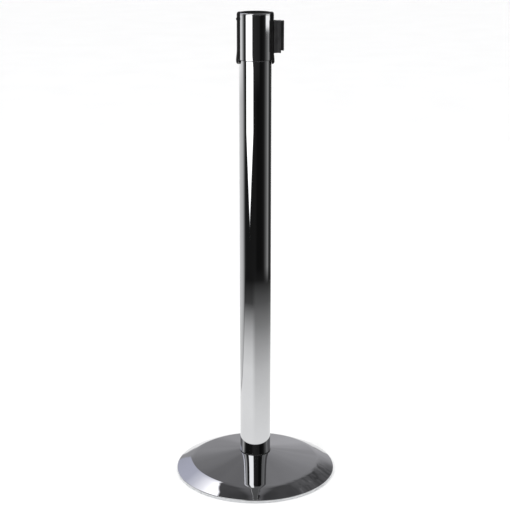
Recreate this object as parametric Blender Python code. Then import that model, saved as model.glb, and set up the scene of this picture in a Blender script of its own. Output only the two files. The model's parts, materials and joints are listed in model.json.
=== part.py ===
"""Retractable belt stanchion: a weighted round foot, a chromed tube, and a head that winds a webbing belt.

Metres, +Z up. The origin is the centre of the foot, on the floor. The belt leaves the head towards +X,
and the slot that takes a neighbour's belt end is on the head's -X side.
"""

import math

import bmesh
import bpy
from mathutils import Matrix, Vector

MM = 0.001
GAP = 0.3 * MM  # between pieces that touch
RUNNING = 0.1 * MM  # radial clearance of a shaft in its bore

# Foot
FOOT_RADIUS = 173 * MM
RIM_HEIGHT = 4.9 * MM  # top of the floor ring, underside of the cover's rim
FOLD_RADIUS = 140 * MM  # where the steep outer bevel turns into the shallow cone
FOLD_HEIGHT = 22 * MM
SEAT_RADIUS = 34.5 * MM  # flat centre that the tube stands on
SEAT_HEIGHT = 44 * MM
COVER_SHEET = 0.9 * MM
RING_INNER = 161 * MM
POCKETS = 9  # in each of the casting's two rings
CASTING = 8 * MM  # iron left above the pockets
BOLT_RADIUS = 6 * MM

# Post
TUBE_RADIUS = 33 * MM
TUBE_WALL = 1.5 * MM
TUBE_FOOT = SEAT_HEIGHT + 1.6 * MM
TUBE_TOP = 905 * MM
SCREW_HEIGHT = 901.5 * MM  # the two screws through the rail feet, the tube and the spigot

# Head
HEIGHT = 1000 * MM
CORE_RADIUS = 32.7 * MM
CORE_BORE = 27 * MM
CORE_FLAT = 29.5 * MM  # flats on the core that the two rails stand against
CORE_FLOOR = 912.5 * MM
SHELL_RADIUS = 34.5 * MM
SHELL_SHEET = 1.5 * MM
SHELL_FOOT = 906 * MM
CAP_FOOT = 996.3 * MM
RAIL_HALF = 13.57 * MM  # half of a rail's width
RAIL_FACE = 37.3 * MM  # distance of a rail's outer face from the post's axis
RAIL_FOOT = 897 * MM
BULB_FACE = 39 * MM
SLOT_FLOOR = 923.7 * MM  # where a docked belt end rests
NECK_HALF = 4.6 * MM
POCKET_HALF = 8.3 * MM
LIP = 1.9 * MM  # thickness of the slot's two lips
POCKET_BACK = 30.8 * MM

# Cassette
PLATE_RADIUS = 26.6 * MM
PLATE = 2.5 * MM
LOWER_PLATE = 913 * MM
UPPER_PLATE = 984 * MM
SPINDLE_RADIUS = 3 * MM
HUB_RADIUS = 8.5 * MM
HUB_BORE = 5.3 * MM
FLANGE_RADIUS = 21.5 * MM
DRUM_FOOT = 917.2 * MM
DRUM_WEB = 925.2 * MM  # roof of the spring chamber
DRUM_TOP = 977.8 * MM
FLANGE = 1.4 * MM
PILLAR_PLACE = 23.8 * MM  # distance of pillars and screws from the axis
ROLLER_RADIUS = 2.2 * MM
ROLLER_X = 24.4 * MM
PIN_RADIUS = 1 * MM

# Belt
BELT_MIDDLE = 951.5 * MM
BELT_WIDTH = 48 * MM
BELT_SHEET = 0.5 * MM
ROLL_RADIUS = 20 * MM
END_HEIGHT = 63.8 * MM
END_NEAR = RAIL_FACE + GAP
END_FAR = 52 * MM  # outer face of the belt end's body, before its neck
END_TIP = 57.9 * MM
END_HALF = 12.5 * MM
TAB_HALF = 7.4 * MM
CLAMP_X = 47 * MM
ROLLER_Y = BELT_SHEET / 2 + RUNNING + ROLLER_RADIUS

# Latch
LATCH_Y = -11 * MM
LATCH_Z = 987.5 * MM
LATCH_PROUD = 1.2 * MM


def clear_scene():
    for piece in list(bpy.data.objects):
        bpy.data.objects.remove(piece, do_unlink=True)


def finish(name, colour, roughness, metallic=0.0):
    made = bpy.data.materials.new(name)
    made.use_nodes = True
    made.diffuse_color = (*colour, 1)
    shader = made.node_tree.nodes["Principled BSDF"]
    shader.inputs["Base Color"].default_value = (*colour, 1)
    shader.inputs["Roughness"].default_value = roughness
    shader.inputs["Metallic"].default_value = metallic
    return made


def solid(name, bm, look):
    """An object from a closed bmesh, its faces turned outwards."""
    bmesh.ops.recalc_face_normals(bm, faces=bm.faces)
    mesh = bpy.data.meshes.new(name)
    bm.to_mesh(mesh)
    bm.free()
    mesh.materials.append(look)
    mesh.shade_smooth()
    mesh.set_sharp_from_angle(angle=math.radians(35))
    piece = bpy.data.objects.new(name, mesh)
    bpy.context.scene.collection.objects.link(piece)
    return piece


def rounded(corners, steps=4):
    """The outline through (a, b, radius) corners, each replaced by an arc; radius 0 stays sharp."""
    outline = []
    for index, (a, b, radius) in enumerate(corners):
        corner = Vector((a, b))
        if radius == 0:
            outline.append((a, b))
            continue
        before = (Vector(corners[index - 1][:2]) - corner).normalized()
        after = (Vector(corners[(index + 1) % len(corners)][:2]) - corner).normalized()
        half = before.angle(after) / 2
        centre = corner + (before + after).normalized() * radius / math.sin(half)
        reach = radius / math.tan(half)
        first = corner + before * reach - centre
        last = corner + after * reach - centre
        start = math.atan2(first.y, first.x)
        turn = (math.atan2(last.y, last.x) - start + math.pi) % (2 * math.pi) - math.pi
        for step in range(steps + 1):
            angle = start + turn * step / steps
            outline.append((centre.x + radius * math.cos(angle), centre.y + radius * math.sin(angle)))
    return outline


def turned(name, section, look, sides=48):
    """A solid turned about Z from (radius, height) points. A section that meets the axis starts and ends on it."""
    bm = bmesh.new()
    points = [bm.verts.new((radius, 0, height)) for radius, height in section]
    edges = [bm.edges.new(pair) for pair in zip(points, points[1:])]
    if section[0][0] > 0:
        edges.append(bm.edges.new((points[-1], points[0])))
    bmesh.ops.spin(
        bm, geom=points + edges, axis=(0, 0, 1), cent=(0, 0, 0), angle=2 * math.pi, steps=sides, use_merge=True
    )
    bmesh.ops.remove_doubles(bm, verts=bm.verts, dist=1e-6)
    return solid(name, bm, look)


def ring(name, inner, outer, low, high, look, sides=48):
    return turned(name, [(inner, low), (outer, low), (outer, high), (inner, high)], look, sides)


def rod(name, radius, low, high, look, sides=24):
    return turned(name, [(0, low), (radius, low), (radius, high), (0, high)], look, sides)


def wedge(name, section, start, sweep, look, steps=8):
    """A (radius, height) section swept part of the way round Z."""
    bm = bmesh.new()
    rows = []
    for step in range(steps + 1):
        angle = start + sweep * step / steps
        rows.append([bm.verts.new((r * math.cos(angle), r * math.sin(angle), z)) for r, z in section])
    for near, far in zip(rows, rows[1:]):
        for index in range(len(section)):
            after = (index + 1) % len(section)
            bm.faces.new((near[index], near[after], far[after], far[index]))
    bm.faces.new(rows[0])
    bm.faces.new(rows[-1])
    return solid(name, bm, look)


def extruded(name, outline, low, high, look, along="Z"):
    """An outline extruded along Z, where it holds (x, y) points, or along Y, where it holds (x, z) points."""
    place = {"Z": lambda a, b: (a, b, low), "Y": lambda a, b: (a, low, b)}[along]
    reach = {"Z": (0, 0, high - low), "Y": (0, high - low, 0)}[along]
    bm = bmesh.new()
    face = bm.faces.new([bm.verts.new(place(a, b)) for a, b in outline])
    grown = bmesh.ops.extrude_face_region(bm, geom=[face], use_keep_orig=True)["geom"]
    bmesh.ops.translate(bm, verts=[v for v in grown if isinstance(v, bmesh.types.BMVert)], vec=reach)
    return solid(name, bm, look)


def block(name, low, high, look):
    bm = bmesh.new()
    size = Vector(high) - Vector(low)
    middle = (Vector(high) + Vector(low)) / 2
    bmesh.ops.create_cube(bm, size=1, matrix=Matrix.Translation(middle) @ Matrix.Diagonal((*size, 1)))
    return solid(name, bm, look)


def soften(piece, width, segments=2):
    """Rounds the edges sharper than 40 degrees."""
    bevel = piece.modifiers.new("soften", "BEVEL")
    bevel.width = width
    bevel.segments = segments
    bevel.limit_method = "ANGLE"
    bevel.angle_limit = math.radians(40)


def combine(piece, other, operation):
    other.hide_render = True
    other.display_type = "WIRE"
    step = piece.modifiers.new(operation.lower() + "_" + other.name, "BOOLEAN")
    step.operation = operation
    step.object = other


def cut(piece, *tools):
    for tool in tools:
        combine(piece, tool, "DIFFERENCE")


def placed(piece, x=0.0, y=0.0, z=0.0, turn_y=0.0):
    piece.location = (x, y, z)
    piece.rotation_euler = (0, turn_y, 0)
    return piece


def screw(name, shank, length, head, head_height, look):
    """A screw whose tip is at its origin and whose head points along +Z, with a hex socket."""
    top = length + head_height
    section = [(0, 0), (shank, 0), (shank, length), (head, length)]
    section += [(head, top - 0.4 * MM), (head - 0.4 * MM, top), (0, top)]
    made = turned(name, section, look, 16)
    socket = rod(name + "_socket", head * 0.5, top - head_height * 0.6, top + MM, look, 6)
    socket.parent = made
    cut(made, socket)
    return made


def cover_height(radius):
    """Top of the foot's cover at a distance from the axis."""
    if radius <= SEAT_RADIUS:
        return SEAT_HEIGHT
    if radius <= FOLD_RADIUS:
        share = (radius - SEAT_RADIUS) / (FOLD_RADIUS - SEAT_RADIUS)
        return SEAT_HEIGHT + (FOLD_HEIGHT - SEAT_HEIGHT) * share
    share = (radius - FOLD_RADIUS) / (FOOT_RADIUS - FOLD_RADIUS)
    return FOLD_HEIGHT + (RIM_HEIGHT + 1.6 * MM - FOLD_HEIGHT) * share


def make_foot(looks):
    ring_corners = [
        (RING_INNER, 0, MM),
        (FOOT_RADIUS, 0, 1.5 * MM),
        (FOOT_RADIUS, RIM_HEIGHT - GAP, 0.8 * MM),
        (RING_INNER, RIM_HEIGHT - GAP, 0),
    ]
    turned("floor_ring", rounded(ring_corners, 2), looks["vinyl"], 72)

    bore = BOLT_RADIUS + 2 * GAP
    skin = COVER_SHEET
    cover_corners = [
        (bore, SEAT_HEIGHT, 0),
        (SEAT_RADIUS, SEAT_HEIGHT, 6 * MM),
        (FOLD_RADIUS, FOLD_HEIGHT, 16 * MM),
        (FOOT_RADIUS, cover_height(FOOT_RADIUS), 1.2 * MM),
        (FOOT_RADIUS, RIM_HEIGHT, 0),
        (FOOT_RADIUS - skin, RIM_HEIGHT, 0),
        (FOOT_RADIUS - skin, cover_height(FOOT_RADIUS) - 0.5 * skin, 0),
        (FOLD_RADIUS, FOLD_HEIGHT - skin, 16 * MM),
        (SEAT_RADIUS, SEAT_HEIGHT - skin, 6 * MM),
        (bore, SEAT_HEIGHT - skin, 0),
    ]
    turned("base_cover", rounded(cover_corners, 2), looks["chrome"], 72)

    drop = skin + 2 * GAP
    side = RING_INNER - GAP
    hub_floor = 13 * MM
    weight_section = [
        (bore, hub_floor),
        (21 * MM, hub_floor),
        (21 * MM, MM),
        (side, MM),
        (side, cover_height(side) - drop),
        (FOLD_RADIUS, FOLD_HEIGHT - drop),
        (SEAT_RADIUS, SEAT_HEIGHT - drop),
        (bore, SEAT_HEIGHT - drop),
    ]
    weight = turned("base_weight", weight_section, looks["iron"], 48)
    pitch = 2 * math.pi / POCKETS
    rib = math.radians(7)
    for inner, outer in ((45 * MM, 92 * MM), (100 * MM, 150 * MM)):
        section = [(inner, -MM), (outer, -MM)]
        section += [(radius, cover_height(radius) - drop - CASTING) for radius in (outer, inner)]
        for index in range(POCKETS):
            name = f"pocket_{round(inner / MM)}_{index}"
            cut(weight, wedge(name, section, index * pitch + rib / 2, pitch - rib, looks["iron"], 3))

    washer_top = hub_floor - GAP
    washer_foot = washer_top - 2.4 * MM
    ring("base_washer", BOLT_RADIUS + GAP, 19 * MM, washer_foot, washer_top, looks["steel"], 24)
    bolt = rod("base_bolt", BOLT_RADIUS, washer_foot - 2 * MM, 72 * MM, looks["steel"], 24)
    head = rod("bolt_head", 10.97 * MM, washer_foot - GAP - 7 * MM, washer_foot - GAP, looks["steel"], 6)
    combine(bolt, head, "UNION")


def make_post(looks):
    gasket_top = TUBE_FOOT - GAP
    inside = TUBE_RADIUS - TUBE_WALL
    ring("foot_gasket", 27 * MM, TUBE_RADIUS + 0.6 * MM, SEAT_HEIGHT + GAP, gasket_top, looks["rubber"], 32)
    ring("foot_plug", BOLT_RADIUS + GAP, inside - GAP, TUBE_FOOT, TUBE_FOOT + 30 * MM, looks["steel"], 24)
    tube = ring("post_tube", inside, TUBE_RADIUS, TUBE_FOOT, TUBE_TOP, looks["chrome"], 64)
    drill = rod("tube_drill", 2.1 * MM, -40 * MM, 40 * MM, looks["steel"], 16)
    cut(tube, placed(drill, z=SCREW_HEIGHT, turn_y=math.pi / 2))
    return drill


def shell_outline(side):
    """Plan of the front (side -1) or rear (side 1) shell, whose two ends stand along the rails."""
    inner = SHELL_RADIUS - SHELL_SHEET
    end = RAIL_HALF + GAP
    steps = 20
    outline = []
    for radius, way in ((SHELL_RADIUS, 1), (inner, -1)):
        first = math.asin(end / radius)
        for step in range(steps + 1):
            share = step / steps if way == 1 else 1 - step / steps
            angle = first + (math.pi - 2 * first) * share
            outline.append((radius * math.cos(angle), side * radius * math.sin(angle)))
    return outline


def rail_blank(name, side, looks):
    """A rail before its slot is cut: a strip up the head's side, with a bulb where its screw goes in."""
    inner = TUBE_RADIUS + 0.35 * MM
    back = CORE_FLAT + GAP
    step = TUBE_TOP + 2 * GAP
    corners = [
        (inner, RAIL_FOOT, 0),
        (BULB_FACE, RAIL_FOOT, 3 * MM),
        (BULB_FACE, RAIL_FOOT + 10 * MM, 3 * MM),
        (RAIL_FACE, RAIL_FOOT + 22 * MM, 3 * MM),
        (RAIL_FACE, HEIGHT, 3.5 * MM),
        (back, HEIGHT, 0),
        (back, step, 0),
        (inner, step, 0),
    ]
    outline = [(side * x, z) for x, z in rounded(corners)]
    rail = extruded(name, outline, -RAIL_HALF, RAIL_HALF, looks["black"], "Y")
    soften(rail, 0.9 * MM)
    hole = rod(name + "_hole", 2.1 * MM, 0, 45 * MM, looks["black"], 16)
    counterbore = rod(name + "_counterbore", 3.3 * MM, 36.7 * MM, 45 * MM, looks["black"], 16)
    for tool in (hole, counterbore):
        placed(tool, z=SCREW_HEIGHT, turn_y=side * math.pi / 2)
    cut(rail, hole, counterbore)
    return rail


def make_rails(looks):
    black = looks["black"]
    exit_rail = rail_blank("exit_rail", 1, looks)
    half = BELT_WIDTH / 2 + 2.5 * MM
    mouth_low = (CORE_FLAT - MM, -1.5 * MM, BELT_MIDDLE - half)
    mouth_high = (BULB_FACE + MM, 1.5 * MM, BELT_MIDDLE + half)
    cut(exit_rail, block("belt_mouth", mouth_low, mouth_high, black))

    receiver = rail_blank("receiver_rail", -1, looks)
    lip = RAIL_FACE - LIP
    tee = [
        (-BULB_FACE - MM, -NECK_HALF),
        (-lip, -NECK_HALF),
        (-lip, -POCKET_HALF),
        (-POCKET_BACK, -POCKET_HALF),
        (-POCKET_BACK, POCKET_HALF),
        (-lip, POCKET_HALF),
        (-lip, NECK_HALF),
        (-BULB_FACE - MM, NECK_HALF),
    ]
    cut(receiver, extruded("tee_slot", tee, SLOT_FLOOR, HEIGHT + MM, black))

    for side, name in ((1, "rail_screw_exit"), (-1, "rail_screw_receiver")):
        made = screw(name, 1.8 * MM, 9.8 * MM, 3 * MM, 1.8 * MM, looks["steel"])
        placed(made, x=side * 27.2 * MM, z=SCREW_HEIGHT, turn_y=side * math.pi / 2)
    return receiver


def make_latch(receiver, looks):
    """The sprung button on the receiver rail's front lip, which stops a docked belt end from lifting out."""
    half_y = 1.4 * MM
    half_z = 2.5 * MM
    flange_z = 3.7 * MM
    flange_face = 35.6 * MM
    flange_back = 34.2 * MM
    black = looks["black"]
    recess = block(
        "latch_recess",
        (-flange_face - GAP, LATCH_Y - half_y - GAP, LATCH_Z - flange_z - GAP),
        (-CORE_FLAT + MM, LATCH_Y + half_y + GAP, LATCH_Z + flange_z + GAP),
        black,
    )
    window = block(
        "latch_window",
        (-RAIL_FACE - MM, LATCH_Y - half_y - GAP, LATCH_Z - half_z - GAP),
        (-flange_face, LATCH_Y + half_y + GAP, LATCH_Z + half_z + GAP),
        black,
    )
    cut(receiver, recess, window)
    face = RAIL_FACE + LATCH_PROUD
    section = [
        (-face, -half_z, 0.7 * MM),
        (-face, half_z, 0.7 * MM),
        (-flange_face, half_z, 0),
        (-flange_face, flange_z, 0),
        (-flange_back, flange_z, 0),
        (-flange_back, -flange_z, 0),
        (-flange_face, -flange_z, 0),
        (-flange_face, -half_z, 0),
    ]
    button = extruded("latch_button", rounded(section, 3), -half_y, half_y, black, "Y")
    placed(button, y=LATCH_Y, z=LATCH_Z)

    turns = 3
    wire = 0.22 * MM
    coil = 0.95 * MM
    length = flange_back - CORE_FLAT - 2 * GAP - 2 * wire
    path = bpy.data.curves.new("latch_spring", "CURVE")
    path.dimensions = "3D"
    path.bevel_depth = wire
    path.bevel_resolution = 0
    path.use_fill_caps = True
    steps = 8 * turns
    spline = path.splines.new("POLY")
    spline.points.add(steps)
    for index in range(steps + 1):
        angle = 2 * math.pi * turns * index / steps
        along = length * index / steps
        spline.points[index].co = (along, coil * math.cos(angle), coil * math.sin(angle), 1)
    path.materials.append(looks["spring"])
    spring = bpy.data.objects.new("latch_spring", path)
    bpy.context.scene.collection.objects.link(spring)
    placed(spring, x=-flange_back + GAP + wire, y=LATCH_Y, z=LATCH_Z)


def make_head(drill, looks):
    floor_foot = TUBE_TOP - MM
    spigot = TUBE_RADIUS - TUBE_WALL - 0.35 * MM
    spigot_bore = 26.5 * MM
    spigot_foot = 862 * MM
    shaft_hole = SPINDLE_RADIUS + GAP
    core_top = CAP_FOOT - 2 * GAP
    section = [
        (spigot_bore, spigot_foot),
        (spigot - MM, spigot_foot),
        (spigot, spigot_foot + 2 * MM),
        (spigot, TUBE_TOP + GAP),
        (CORE_RADIUS, TUBE_TOP + GAP),
        (CORE_RADIUS, core_top),
        (CORE_BORE, core_top),
        (CORE_BORE, CORE_FLOOR),
        (shaft_hole, CORE_FLOOR),
        (shaft_hole, floor_foot),
        (spigot_bore, floor_foot),
    ]
    core = turned("head_core", section, looks["black"], 48)
    half = BELT_WIDTH / 2 + 3 * MM
    for side, name in ((1, "core_flat_exit"), (-1, "core_flat_receiver")):
        near = side * CORE_FLAT
        far = side * (CORE_RADIUS + 2 * MM)
        low = (min(near, far), -CORE_RADIUS, TUBE_TOP - 0.1 * MM)
        high = (max(near, far), CORE_RADIUS, HEIGHT + MM)
        cut(core, block(name, low, high, looks["black"]))
    slit_low = (20 * MM, -2 * MM, BELT_MIDDLE - half)
    slit_high = (CORE_RADIUS, 2 * MM, BELT_MIDDLE + half)
    cut(core, block("core_slit", slit_low, slit_high, looks["black"]), drill)
    for side in (-1, 1):
        tool = rod(f"core_tapping{side}", 1.3 * MM, CORE_FLOOR - 6 * MM, CORE_FLOOR + MM, looks["black"], 12)
        cut(core, placed(tool, y=side * PILLAR_PLACE))

    for side, name in ((-1, "front_shell"), (1, "rear_shell")):
        shell = extruded(name, shell_outline(side), SHELL_FOOT, CAP_FOOT - GAP, looks["chrome"])
        soften(shell, 0.4 * MM, 1)

    cap_section = [(0, HEIGHT)]
    cap_section += rounded([(20 * MM, HEIGHT, 0), (SHELL_RADIUS, HEIGHT, 2.4 * MM), (SHELL_RADIUS, CAP_FOOT, 0)])
    cap_section += [
        (CORE_BORE - GAP, CAP_FOOT),
        (CORE_BORE - GAP, 990 * MM),
        (24.5 * MM, 990 * MM),
        (24.5 * MM, 997.5 * MM),
        (0, 997.5 * MM),
    ]
    cap = turned("top_cap", cap_section, looks["chrome"], 48)
    for side, name in ((1, "cap_notch_exit"), (-1, "cap_notch_receiver")):
        near = side * CORE_FLAT
        far = side * (SHELL_RADIUS + MM)
        low = (min(near, far), -RAIL_HALF - GAP, CAP_FOOT - MM)
        high = (max(near, far), RAIL_HALF + GAP, HEIGHT + MM)
        cut(cap, block(name, low, high, looks["chrome"]))


def make_cassette(looks):
    white = looks["acetal"]
    steel = looks["steel"]
    for name, low in (("lower_plate", LOWER_PLATE), ("upper_plate", UPPER_PLATE)):
        plate = ring(name, SPINDLE_RADIUS + GAP, PLATE_RADIUS, low, low + PLATE, white, 32)
        for side in (-1, 1):
            tool = rod(f"{name}_pin_hole{side}", PIN_RADIUS + GAP, low - MM, low + PLATE + MM, white, 12)
            cut(plate, placed(tool, ROLLER_X, side * ROLLER_Y))
            if name == "lower_plate":
                hole = rod(f"{name}_screw_hole{side}", 1.3 * MM, low - MM, low + PLATE + MM, white, 12)
                cut(plate, placed(hole, y=side * PILLAR_PLACE))

    plate_top = LOWER_PLATE + PLATE
    for side, place in ((-1, "front"), (1, "rear")):
        made = screw("cassette_screw_" + place, MM, 7.5 * MM, 1.9 * MM, 1.2 * MM, steel)
        placed(made, y=side * PILLAR_PLACE, z=plate_top + GAP - 7.5 * MM)
        angle = math.radians(130) * side
        pillar = rod("cassette_pillar_" + place, 1.7 * MM, plate_top + GAP, UPPER_PLATE - GAP, steel, 16)
        placed(pillar, PILLAR_PLACE * math.cos(angle), PILLAR_PLACE * math.sin(angle))
        pin = rod("guide_pin_" + place, PIN_RADIUS, LOWER_PLATE, UPPER_PLATE + PLATE, steel, 16)
        placed(pin, ROLLER_X, side * ROLLER_Y)
        low = plate_top + MM
        roller = ring("guide_roller_" + place, PIN_RADIUS + RUNNING, ROLLER_RADIUS, low, UPPER_PLATE - MM, white, 24)
        placed(roller, ROLLER_X, side * ROLLER_Y)

    rod("spindle", SPINDLE_RADIUS, 906 * MM, 988.5 * MM, steel, 24)
    clip = ring("spindle_clip", SPINDLE_RADIUS + GAP, 5.6 * MM, 986.8 * MM, 987.8 * MM, steel, 24)
    cut(clip, block("clip_gap", (0, -2.4 * MM, 986 * MM), (7 * MM, 2.4 * MM, 989 * MM), steel))


def make_drum(looks):
    chamber = FLANGE_RADIUS - FLANGE
    drum_section = [
        (HUB_BORE, DRUM_WEB),
        (chamber, DRUM_WEB),
        (chamber, DRUM_FOOT),
        (FLANGE_RADIUS, DRUM_FOOT),
        (FLANGE_RADIUS, DRUM_WEB + FLANGE),
        (HUB_RADIUS, DRUM_WEB + FLANGE),
        (HUB_RADIUS, DRUM_TOP - FLANGE),
        (FLANGE_RADIUS, DRUM_TOP - FLANGE),
        (FLANGE_RADIUS, DRUM_TOP),
        (HUB_BORE, DRUM_TOP),
    ]
    drum = turned("belt_drum", drum_section, looks["acetal"], 32)
    low = BELT_MIDDLE - BELT_WIDTH / 2
    roll = ring("belt_roll", HUB_RADIUS + GAP, ROLL_RADIUS, low, low + BELT_WIDTH, looks["webbing"], 32)
    roll.parent = drum
    inner = SPINDLE_RADIUS + RUNNING
    for name, foot in (("lower_bush", DRUM_WEB + GAP), ("upper_bush", DRUM_TOP - 6.3 * MM)):
        bush = ring(name, inner, HUB_BORE - GAP, foot, foot + 6 * MM, looks["brass"], 24)
        bush.parent = drum

    turns = 5
    per_turn = 16
    strip = 0.4 * MM
    first = SPINDLE_RADIUS + GAP + strip
    last = chamber - GAP - strip
    sides = ([], [])
    for index in range(turns * per_turn + 1):
        share = index / (turns * per_turn)
        angle = 2 * math.pi * turns * share
        for side, offset in zip(sides, (-strip / 2, strip / 2)):
            radius = first + (last - first) * share + offset
            side.append((radius * math.cos(angle), radius * math.sin(angle)))
    outline = sides[1] + sides[0][::-1]
    extruded("power_spring", outline, DRUM_FOOT + 1.3 * MM, DRUM_WEB - MM, looks["spring"])


def belt_path():
    """Middle line of the belt from the roll, round the rear guide roller, and straight out along +X."""
    wrap = ROLLER_RADIUS + RUNNING + BELT_SHEET / 2
    leave = ROLL_RADIUS + GAP + BELT_SHEET / 2
    between = math.hypot(ROLLER_X, ROLLER_Y)
    angle = math.atan2(ROLLER_Y, ROLLER_X) + math.acos((wrap + leave) / between)
    path = [Vector((leave * math.cos(angle), leave * math.sin(angle)))]
    steps = 6
    for step in range(steps + 1):
        turn = math.pi + angle + (math.pi / 2 - angle) * step / steps
        path.append(Vector((ROLLER_X + wrap * math.cos(turn), ROLLER_Y + wrap * math.sin(turn))))
    path.append(Vector((CLAMP_X - 2 * MM, 0)))
    return path


def make_belt(looks):
    path = belt_path()
    sides = ([], [])
    for index, point in enumerate(path):
        ahead = path[min(index + 1, len(path) - 1)] - path[max(index - 1, 0)]
        normal = Vector((-ahead.y, ahead.x)).normalized() * BELT_SHEET / 2
        sides[0].append(tuple(point + normal))
        sides[1].append(tuple(point - normal))
    low = BELT_MIDDLE - BELT_WIDTH / 2
    extruded("belt_web", sides[0] + sides[1][::-1], low, low + BELT_WIDTH, looks["webbing"])

    neck = 3.6 * MM
    lip = END_TIP - 3 * MM
    half = [
        (END_NEAR, -END_HALF, 1.5 * MM),
        (END_FAR, -END_HALF, 2.5 * MM),
        (END_FAR, -neck, 0),
        (lip, -neck, 0),
        (lip, -TAB_HALF, 0.6 * MM),
        (END_TIP, -TAB_HALF, 1.2 * MM),
    ]
    corners = half + [(x, -y, radius) for x, y, radius in reversed(half)]
    foot = BELT_MIDDLE - END_HEIGHT / 2
    top = BELT_MIDDLE + END_HEIGHT / 2
    belt_end = extruded("belt_end", rounded(corners, 3), foot, top, looks["black"])
    soften(belt_end, 0.6 * MM, 1)
    black = looks["black"]
    step_low = (END_FAR + 0.2 * MM, -END_HALF, foot - MM)
    step_high = (END_TIP + MM, END_HALF, SLOT_FLOOR + GAP)
    slot_half = BELT_WIDTH / 2 + 2 * GAP
    slot_low = (END_NEAR - MM, -0.6 * MM, BELT_MIDDLE - slot_half)
    slot_high = (CLAMP_X, 0.6 * MM, BELT_MIDDLE + slot_half)
    bore = placed(rod("clamp_bore", 1.9 * MM, foot + 2.4 * MM, top + MM, black, 20), CLAMP_X)
    cut(belt_end, block("tab_step", step_low, step_high, black))
    cut(belt_end, bore, block("belt_slot", slot_low, slot_high, black))
    placed(rod("clamp_pin", 1.6 * MM, foot + 2.7 * MM, top - 0.6 * MM, looks["steel"], 20), CLAMP_X)


def main():
    clear_scene()
    looks = {
        "chrome": finish("chrome", (0.78, 0.78, 0.79), 0.06, 1.0),
        "black": finish("black_plastic", (0.025, 0.025, 0.028), 0.4),
        "vinyl": finish("grey_vinyl", (0.55, 0.56, 0.57), 0.5),
        "rubber": finish("black_rubber", (0.02, 0.02, 0.02), 0.75),
        "iron": finish("cast_iron", (0.09, 0.09, 0.095), 0.7, 0.6),
        "steel": finish("zinc_steel", (0.62, 0.63, 0.65), 0.3, 1.0),
        "spring": finish("spring_steel", (0.33, 0.34, 0.37), 0.28, 1.0),
        "brass": finish("bush_brass", (0.72, 0.54, 0.24), 0.3, 1.0),
        "acetal": finish("white_acetal", (0.75, 0.75, 0.72), 0.45),
        "webbing": finish("black_webbing", (0.02, 0.02, 0.022), 0.85),
    }
    make_foot(looks)
    drill = make_post(looks)
    make_head(drill, looks)
    receiver = make_rails(looks)
    make_latch(receiver, looks)
    make_cassette(looks)
    make_drum(looks)
    make_belt(looks)


main()
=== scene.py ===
"""Looks of the retractable belt stanchion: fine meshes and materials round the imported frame, metres, +Z up.

The belt leaves the head towards +X, the slot for a neighbour's belt end is at -X, and the camera looks
along +Y.
"""

import json
import math

import bmesh
import bpy
from mathutils import Matrix, Vector


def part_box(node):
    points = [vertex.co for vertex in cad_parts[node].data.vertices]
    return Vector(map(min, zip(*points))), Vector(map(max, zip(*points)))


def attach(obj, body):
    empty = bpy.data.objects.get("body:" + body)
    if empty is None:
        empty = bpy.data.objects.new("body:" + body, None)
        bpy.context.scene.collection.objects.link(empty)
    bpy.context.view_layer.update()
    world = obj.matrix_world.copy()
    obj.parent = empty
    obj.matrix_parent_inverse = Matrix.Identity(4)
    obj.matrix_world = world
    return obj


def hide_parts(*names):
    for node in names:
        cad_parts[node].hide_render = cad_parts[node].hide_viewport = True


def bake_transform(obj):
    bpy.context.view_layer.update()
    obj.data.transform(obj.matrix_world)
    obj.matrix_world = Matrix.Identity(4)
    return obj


MM = 0.001
HUG = 0.25 * MM  # clearance of a piece laid over another
SCREW_HOLE = 2.1 * MM  # radius of the holes for the rails' screws
TUBE_SIDES = 160
FOOT_SIDES = 240

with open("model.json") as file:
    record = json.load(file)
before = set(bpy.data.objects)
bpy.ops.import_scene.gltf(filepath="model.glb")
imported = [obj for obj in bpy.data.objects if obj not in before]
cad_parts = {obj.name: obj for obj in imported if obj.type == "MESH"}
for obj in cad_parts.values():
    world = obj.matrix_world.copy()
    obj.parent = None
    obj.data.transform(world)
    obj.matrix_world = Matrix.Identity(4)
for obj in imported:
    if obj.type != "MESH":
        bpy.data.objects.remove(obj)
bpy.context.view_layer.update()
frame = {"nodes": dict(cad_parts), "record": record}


def reach(node):
    """Greatest distance of a CAD node from the post's axis along X, and its lowest and highest points."""
    low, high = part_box(node)
    return max(-low.x, high.x), low.z, high.z


def middle_of(node):
    low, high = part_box(node)
    return (low + high) / 2


# ---------------------------------------------------------------- meshes


def piece_of(name, bm, look, body, stands_for=(), smooth=35):
    """A finished piece from a bmesh: normals out, shaded smooth up to an angle, riding on its body."""
    bmesh.ops.recalc_face_normals(bm, faces=bm.faces)
    mesh = bpy.data.meshes.new(name)
    bm.to_mesh(mesh)
    bm.free()
    mesh.materials.append(look)
    mesh.shade_smooth()
    mesh.set_sharp_from_angle(angle=math.radians(smooth))
    piece = bpy.data.objects.new(name, mesh)
    bpy.context.scene.collection.objects.link(piece)
    even_normals(piece)
    if body:
        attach(piece, body)
    if stands_for:
        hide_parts(*stands_for)
    return piece


def rounded(corners, steps=6):
    """The outline through (a, b, radius) corners, each replaced by an arc; radius 0 stays sharp."""
    outline = []
    for index, (a, b, radius) in enumerate(corners):
        corner = Vector((a, b))
        if radius == 0:
            outline.append((a, b))
            continue
        before = (Vector(corners[index - 1][:2]) - corner).normalized()
        after = (Vector(corners[(index + 1) % len(corners)][:2]) - corner).normalized()
        half = before.angle(after) / 2
        centre = corner + (before + after).normalized() * radius / math.sin(half)
        leg = radius / math.tan(half)
        first = corner + before * leg - centre
        last = corner + after * leg - centre
        start = math.atan2(first.y, first.x)
        turn = (math.atan2(last.y, last.x) - start + math.pi) % (2 * math.pi) - math.pi
        for step in range(steps + 1):
            angle = start + turn * step / steps
            outline.append((centre.x + radius * math.cos(angle), centre.y + radius * math.sin(angle)))
    return outline


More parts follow.
